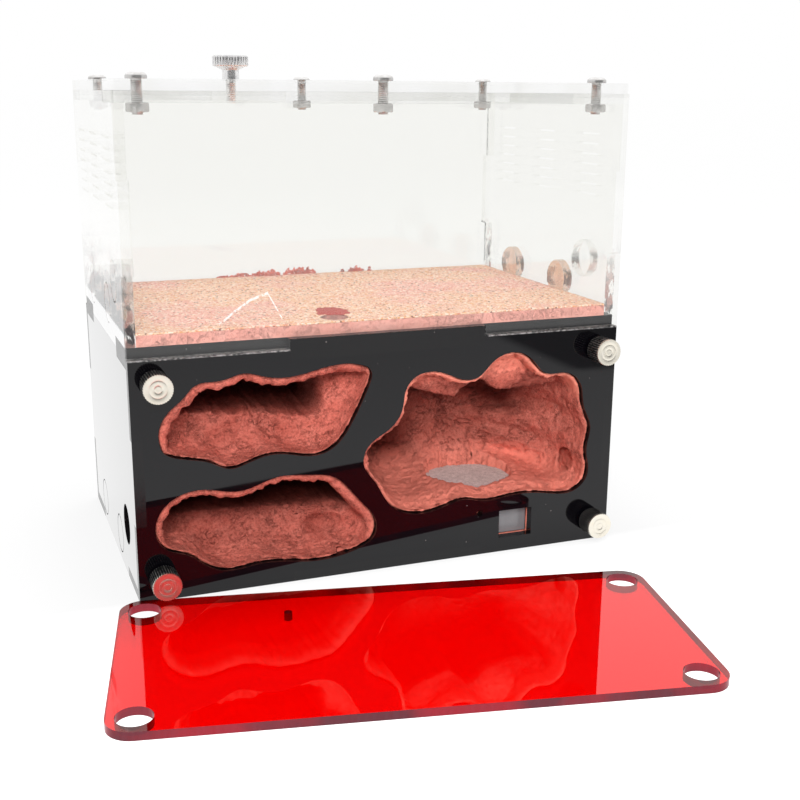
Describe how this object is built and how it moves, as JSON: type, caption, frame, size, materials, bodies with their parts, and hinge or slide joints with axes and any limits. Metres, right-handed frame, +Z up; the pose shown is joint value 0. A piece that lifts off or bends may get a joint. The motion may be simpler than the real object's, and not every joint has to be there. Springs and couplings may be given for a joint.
{
  "type": "ant habitat",
  "caption": "Two-storey acrylic ant nest: carved plaster chambers behind a black cut-out front, a clear lidded outworld on top, knurled pegs, and a loose red cover in front",
  "frame": {"origin": "centre of the nest box's underside, on the table", "axes": "+Z up, +X to the right along the front, +Y to the rear; the chamber front faces -Y"},
  "size_m": [0.2242, 0.2578, 0.1996],
  "materials": {
    "clear_acrylic": "clear cast acrylic sheet, polished faces, laser-cut edges",
    "black_acrylic": "black cast acrylic sheet, glossy",
    "tray_plastic": "smoked clear moulded tray",
    "tinted_plaster": "red-tinted cast plaster, matt and porous",
    "sand": "fine light sand, loose grains",
    "red_acrylic": "transparent red cast acrylic, glossy",
    "steel_mesh": "fine woven stainless mesh",
    "nickel_plated_brass": "nickel-plated, knurled rim",
    "black_anodised_aluminium": "black anodised, knurled, with a bright turned face",
    "stainless_steel": "plain stainless steel"
  },
  "bodies": {
    "nest": {"nest_front_panel": "black_acrylic", "nest_back_panel": "black_acrylic", "nest_left_panel": "black_acrylic", "nest_right_panel": "black_acrylic", "nest_bottom_plate": "black_acrylic", "nest_top_plate": "black_acrylic", "nest_left_middle_disc": "black_acrylic", "nest_left_rear_disc": "black_acrylic", "nest_right_middle_disc": "black_acrylic", "nest_right_rear_disc": "black_acrylic", "plaster_block": "tinted_plaster", "water_tray": "tray_plastic", "water_mesh": "steel_mesh", "upper_left_peg_nut": "stainless_steel", "upper_right_peg_nut": "stainless_steel", "lower_left_peg_nut": "stainless_steel", "lower_right_peg_nut": "stainless_steel", "outworld_floor": "black_acrylic", "outworld_front_wall": "clear_acrylic", "outworld_back_wall": "clear_acrylic", "outworld_left_wall": "clear_acrylic", "outworld_right_wall": "clear_acrylic", "outworld_left_front_disc": "clear_acrylic", "outworld_left_middle_disc": "clear_acrylic", "outworld_left_rear_disc": "clear_acrylic", "outworld_right_front_disc": "clear_acrylic", "outworld_right_middle_disc": "clear_acrylic", "outworld_right_rear_disc": "clear_acrylic", "outworld_rim": "clear_acrylic", "plaster_floor": "tinted_plaster", "sand_layer": "sand", "front_left_nut": "stainless_steel", "front_middle_nut": "stainless_steel", "front_right_nut": "stainless_steel", "rear_left_nut": "stainless_steel", "rear_middle_nut": "stainless_steel", "rear_right_nut": "stainless_steel"},
    "lid": {"lid": "clear_acrylic", "front_left_screw": "stainless_steel", "front_middle_screw": "stainless_steel", "front_right_screw": "stainless_steel", "rear_left_screw": "stainless_steel", "rear_middle_screw": "stainless_steel", "rear_right_screw": "stainless_steel"},
    "feed_plug": {"feed_plug": "nickel_plated_brass"},
    "red_cover": {"red_cover": "red_acrylic"},
    "upper_left_peg": {"upper_left_peg": "black_anodised_aluminium"},
    "upper_right_peg": {"upper_right_peg": "black_anodised_aluminium"},
    "lower_left_peg": {"lower_left_peg": "black_anodised_aluminium"},
    "lower_right_peg": {"lower_right_peg": "black_anodised_aluminium"}
  },
  "joints": [
    {"name": "lid_lift", "type": "slide", "parent": "nest", "child": "lid", "axis": [0, 0, 1], "range_m": [0, 0.08]},
    {"name": "feed_plug_turn", "type": "hinge", "parent": "lid", "child": "feed_plug", "pos_m": [-0.045, 0, 0.19], "axis": [0, 0, 1], "continuous": true},
    {"name": "cover_slide", "type": "slide", "parent": "nest", "child": "red_cover", "axis": [-0.1977, -0.9803, 0], "range_m": [0, 0.15]},
    {"name": "upper_left_peg_turn", "type": "hinge", "parent": "nest", "child": "upper_left_peg", "pos_m": [-0.091, -0.063, 0.0843], "axis": [0, -1, 0], "continuous": true},
    {"name": "upper_right_peg_turn", "type": "hinge", "parent": "nest", "child": "upper_right_peg", "pos_m": [0.091, -0.063, 0.0843], "axis": [0, -1, 0], "continuous": true},
    {"name": "lower_left_peg_turn", "type": "hinge", "parent": "nest", "child": "lower_left_peg", "pos_m": [-0.091, -0.063, 0.0093], "axis": [0, -1, 0], "continuous": true},
    {"name": "lower_right_peg_turn", "type": "hinge", "parent": "nest", "child": "lower_right_peg", "pos_m": [0.091, -0.063, 0.0093], "axis": [0, -1, 0], "continuous": true}
  ]
}
